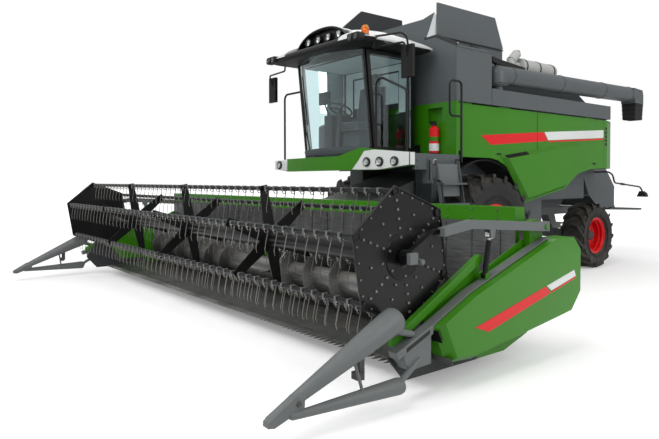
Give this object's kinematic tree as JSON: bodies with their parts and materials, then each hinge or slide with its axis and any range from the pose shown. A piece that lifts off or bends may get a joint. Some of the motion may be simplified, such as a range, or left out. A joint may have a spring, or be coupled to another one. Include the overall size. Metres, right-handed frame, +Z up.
{
  "type": "combine harvester",
  "caption": "Self-propelled combine harvester with a wide grain header, tined reel, cab, open grain tank lids, folded unloading tube, ladder, doors and steered rear wheels.",
  "frame": {"origin": "on the ground under the middle of the front axle, which is the bottom centre of the machine's box", "axes": "+X to the machine's left, +Y to its rear, +Z up"},
  "size_m": [8.06, 11.387, 4.8373],
  "materials": {
    "green_paint": "glossy green enamel",
    "grey_paint": "satin mid-grey enamel",
    "dark_paint": "satin black enamel",
    "red_paint": "glossy red enamel",
    "pale_plastic": "off-white moulded plastic",
    "dark_plastic": "black moulded plastic",
    "tyre_rubber": "matt farm tyre rubber",
    "spout_rubber": "matt black rubber",
    "cab_glass": "lightly tinted clear glass",
    "worn_steel": "crop-polished sheet steel",
    "rod_chrome": "hard-chromed rod",
    "engine_iron": "painted casting",
    "seat_cloth": "woven seat cloth"
  },
  "bodies": {
    "machine": {"air_cleaner": "pale_plastic", "bumper": "green_paint", "cab_controls": "dark_plastic", "cab_frame": "dark_paint", "cab_glass": "cab_glass", "cab_platform": "grey_paint", "cab_roof": "pale_plastic", "chassis_frame": "grey_paint", "engine_block": "engine_iron", "engine_deck": "grey_paint", "fire_extinguisher": "red_paint", "front_axle": "grey_paint", "front_wall": "green_paint", "grain_tank": "grey_paint", "hand_rails": "dark_paint", "mirrors": "dark_paint", "operator_seat": "seat_cloth", "rear_axle": "grey_paint", "rear_cowl": "green_paint", "spreader_board": "grey_paint", "straw_hood": "grey_paint", "tank_extension": "grey_paint", "threshing_body": "grey_paint", "tow_hitch": "grey_paint"},
    "front_wheel_left": {"front_tyre_left": "tyre_rubber", "front_rim_left": "red_paint"},
    "front_wheel_right": {"front_tyre_right": "tyre_rubber", "front_rim_right": "red_paint"},
    "rear_wheel_left": {"rear_tyre_left": "tyre_rubber", "rear_rim_left": "red_paint"},
    "rear_wheel_right": {"rear_tyre_right": "tyre_rubber", "rear_rim_right": "red_paint"},
    "steer_left": {"knuckle_left": "grey_paint"},
    "steer_right": {"knuckle_right": "grey_paint"},
    "header": {"feederhouse": "grey_paint", "header_pan": "worn_steel", "header_back": "green_paint", "header_end_left": "green_paint", "header_end_right": "green_paint", "cutterbar": "dark_paint", "crop_dividers": "grey_paint"},
    "lift_barrels": {"header_lift_barrels": "dark_paint"},
    "lift_rods": {"header_lift_rods": "rod_chrome"},
    "reel_lift": {"reel_arms": "grey_paint"},
    "reel_barrels": {"reel_lift_barrels": "dark_paint"},
    "reel_rods": {"reel_lift_rods": "rod_chrome"},
    "carriages": {"reel_carriages": "dark_paint"},
    "reel": {"reel_core": "dark_paint", "reel_bars": "dark_paint"},
    "auger": {"auger_core": "worn_steel", "auger_flights": "worn_steel"},
    "unloader": {"unloading_tube": "grey_paint", "unloading_spout": "spout_rubber"},
    "ladder": {"ladder": "grey_paint"},
    "door": {"cab_door": "dark_paint", "door_glass": "cab_glass"},
    "lid_left": {"tank_lid_left": "grey_paint"},
    "lid_right": {"tank_lid_right": "grey_paint"},
    "panel_left": {"side_panel_left": "green_paint"},
    "panel_right": {"side_panel_right": "green_paint"}
  },
  "joints": [
    {"name": "front_wheel_left_spin", "type": "hinge", "parent": "machine", "child": "front_wheel_left", "pos_m": [1.37, 0, 0.9], "axis": [1, 0, 0], "continuous": true},
    {"name": "steer_left_turn", "type": "hinge", "parent": "machine", "child": "steer_left", "pos_m": [0.86, 3.57, 0.625], "axis": [0, 0, 1], "range_deg": [-35, 35]},
    {"name": "rear_wheel_left_spin", "type": "hinge", "parent": "steer_left", "child": "rear_wheel_left", "pos_m": [1.2, 3.57, 0.625], "axis": [1, 0, 0], "continuous": true},
    {"name": "front_wheel_right_spin", "type": "hinge", "parent": "machine", "child": "front_wheel_right", "pos_m": [-1.37, 0, 0.9], "axis": [1, 0, 0], "continuous": true},
    {"name": "steer_right_turn", "type": "hinge", "parent": "machine", "child": "steer_right", "pos_m": [-0.86, 3.57, 0.625], "axis": [0, 0, 1], "range_deg": [-35, 35]},
    {"name": "rear_wheel_right_spin", "type": "hinge", "parent": "steer_right", "child": "rear_wheel_right", "pos_m": [-1.2, 3.57, 0.625], "axis": [1, 0, 0], "continuous": true},
    {"name": "header_raise", "type": "hinge", "parent": "machine", "child": "header", "pos_m": [0, -0.35, 1.75], "axis": [-1, 0, 0], "range_deg": [0, 17]},
    {"name": "lift_barrels_turn", "type": "hinge", "parent": "machine", "child": "lift_barrels", "pos_m": [0, -0.25, 0.56], "axis": [-1, 0, 0], "range_deg": [-0.57, 16.26]},
    {"name": "lift_rods_slide", "type": "slide", "parent": "lift_barrels", "child": "lift_rods", "axis": [0, -0.9964, -0.0845], "range_m": [-0.002, 0.3554]},
    {"name": "reel_arms_raise", "type": "hinge", "parent": "header", "child": "reel_lift", "pos_m": [0, -2.52, 1.26], "axis": [-1, 0, 0], "range_deg": [0, 16]},
    {"name": "reel_barrels_turn", "type": "hinge", "parent": "header", "child": "reel_barrels", "pos_m": [0, -3.43, 0.88], "axis": [-1, 0, 0], "range_deg": [-3.12, 0.57]},
    {"name": "reel_rods_slide", "type": "slide", "parent": "reel_barrels", "child": "reel_rods", "axis": [0, 0.1935, 0.9811], "range_m": [-0.002, 0.2342]},
    {"name": "carriages_slide", "type": "slide", "parent": "reel_lift", "child": "carriages", "axis": [0, -0.9916, -0.1295], "range_m": [-0.15, 0.15]},
    {"name": "reel_spin", "type": "hinge", "parent": "carriages", "child": "reel", "pos_m": [0, -4.3, 1.104], "axis": [1, 0, 0], "continuous": true},
    {"name": "auger_spin", "type": "hinge", "parent": "header", "child": "auger", "pos_m": [0, -3.15, 0.47], "axis": [1, 0, 0], "continuous": true},
    {"name": "unloader_swing", "type": "hinge", "parent": "machine", "child": "unloader", "pos_m": [1.4, 0.33, 3.18], "axis": [0, 0, -1], "range_deg": [0, 100]},
    {"name": "ladder_swing", "type": "hinge", "parent": "machine", "child": "ladder", "pos_m": [1.64, -1.5, 1.8], "axis": [0, 0, -1], "range_deg": [0, 90]},
    {"name": "cab_door_swing", "type": "hinge", "parent": "machine", "child": "door", "pos_m": [0.7943, -0.974, 2.12], "axis": [0, 0, 1], "range_deg": [0, 65]},
    {"name": "lid_left_fold", "type": "hinge", "parent": "machine", "child": "lid_left", "pos_m": [1.096, 0, 3.8823], "axis": [0, -1, 0], "range_deg": [0, 90]},
    {"name": "lid_right_fold", "type": "hinge", "parent": "machine", "child": "lid_right", "pos_m": [-1.096, 0, 3.8823], "axis": [0, 1, 0], "range_deg": [0, 90]},
    {"name": "panel_left_open", "type": "hinge", "parent": "machine", "child": "panel_left", "pos_m": [1.445, 0, 2.8527], "axis": [0, -1, 0], "range_deg": [0, 70]},
    {"name": "panel_right_open", "type": "hinge", "parent": "machine", "child": "panel_right", "pos_m": [-1.445, 0, 2.8527], "axis": [0, 1, 0], "range_deg": [0, 70]}
  ],
  "couplings": [
    {"joint": "steer_right_turn", "follows": "steer_left_turn", "ratio": 1},
    {"joint": "lift_barrels_turn", "follows": "header_raise", "ratio": 0.92279},
    {"joint": "lift_rods_slide", "follows": "header_raise", "m_per_rad": 1.1909},
    {"joint": "reel_barrels_turn", "follows": "reel_arms_raise", "ratio": -0.15923},
    {"joint": "reel_rods_slide", "follows": "reel_arms_raise", "m_per_rad": 0.83164}
  ]
}
